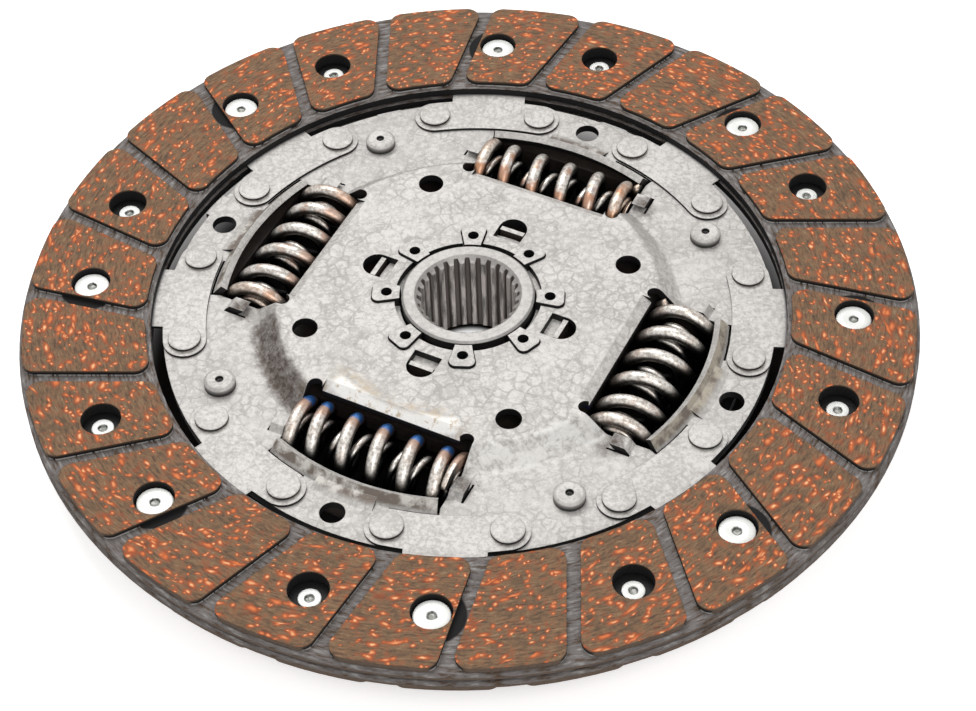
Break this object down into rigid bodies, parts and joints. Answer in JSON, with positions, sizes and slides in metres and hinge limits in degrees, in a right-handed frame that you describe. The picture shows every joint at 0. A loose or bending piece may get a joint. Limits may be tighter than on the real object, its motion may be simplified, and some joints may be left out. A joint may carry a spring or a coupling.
{
  "type": "clutch disc",
  "caption": "Dry clutch disc: grooved friction facings riveted to cushion segments, sprung damper plates with coil springs in windows, and a splined hub that turns a little against them.",
  "frame": {"origin": "on the disc's axis at the hub's lower end", "axes": "+Z along the axis, out of the side with the raised dome and the hub's short end"},
  "size_m": [0.21, 0.21, 0.0244],
  "materials": {
    "facing": "moulded friction material, brown with fine copper-coloured fibres",
    "facing_rivet": "bright plated",
    "plate_rivet": "bright plated",
    "segment_steel": "rolled spring steel",
    "plate_steel": "light grey phosphate coat, rubbed bright in places",
    "pin_steel": "light grey phosphate coat",
    "spring_steel": "shot-blasted wire with a warm tint",
    "hub_steel": "machined and phosphated",
    "stack_steel": "light grey phosphate coat",
    "bush_plastic": "moulded, dark"
  },
  "bodies": {
    "hub": {"hub": "hub_steel", "hub_flange": "hub_steel"},
    "disc": {"facing_upper": "facing", "facing_lower": "facing", "facing_rivets_upper": "facing_rivet", "facing_rivets_lower": "facing_rivet", "cushion_segment_1": "segment_steel", "cushion_segment_2": "segment_steel", "cushion_segment_3": "segment_steel", "cushion_segment_4": "segment_steel", "cushion_segment_5": "segment_steel", "cushion_segment_6": "segment_steel", "cushion_segment_7": "segment_steel", "cushion_segment_8": "segment_steel", "plate_rivets": "plate_rivet", "retainer_plate": "plate_steel", "counter_plate": "plate_steel", "stop_pins": "pin_steel", "lug_ring": "stack_steel", "diaphragm_spring": "stack_steel", "tab_plate": "stack_steel", "friction_washer": "bush_plastic", "centring_bush": "bush_plastic"},
    "damper_springs": {"damper_spring_outer_1": "spring_steel", "damper_spring_outer_2": "spring_steel", "damper_spring_outer_3": "spring_steel", "damper_spring_outer_4": "spring_steel", "damper_spring_inner_1": "spring_steel", "damper_spring_inner_2": "spring_steel", "damper_spring_inner_3": "spring_steel", "damper_spring_inner_4": "spring_steel"}
  },
  "joints": [
    {"name": "disc_twist", "type": "hinge", "parent": "hub", "child": "disc", "pos_m": [0, 0, 0], "axis": [0, 0, 1], "range_deg": [-10, 10], "stiffness_Nm_per_rad": 750, "deforming": ["damper_spring_outer_1", "damper_spring_outer_2", "damper_spring_outer_3", "damper_spring_outer_4", "damper_spring_inner_1", "damper_spring_inner_2", "damper_spring_inner_3", "damper_spring_inner_4"]},
    {"name": "spring_shift", "type": "hinge", "parent": "hub", "child": "damper_springs", "pos_m": [0, 0, 0], "axis": [0, 0, 1], "range_deg": [-5, 5]}
  ],
  "couplings": [
    {"joint": "spring_shift", "follows": "disc_twist", "ratio": 0.5}
  ]
}
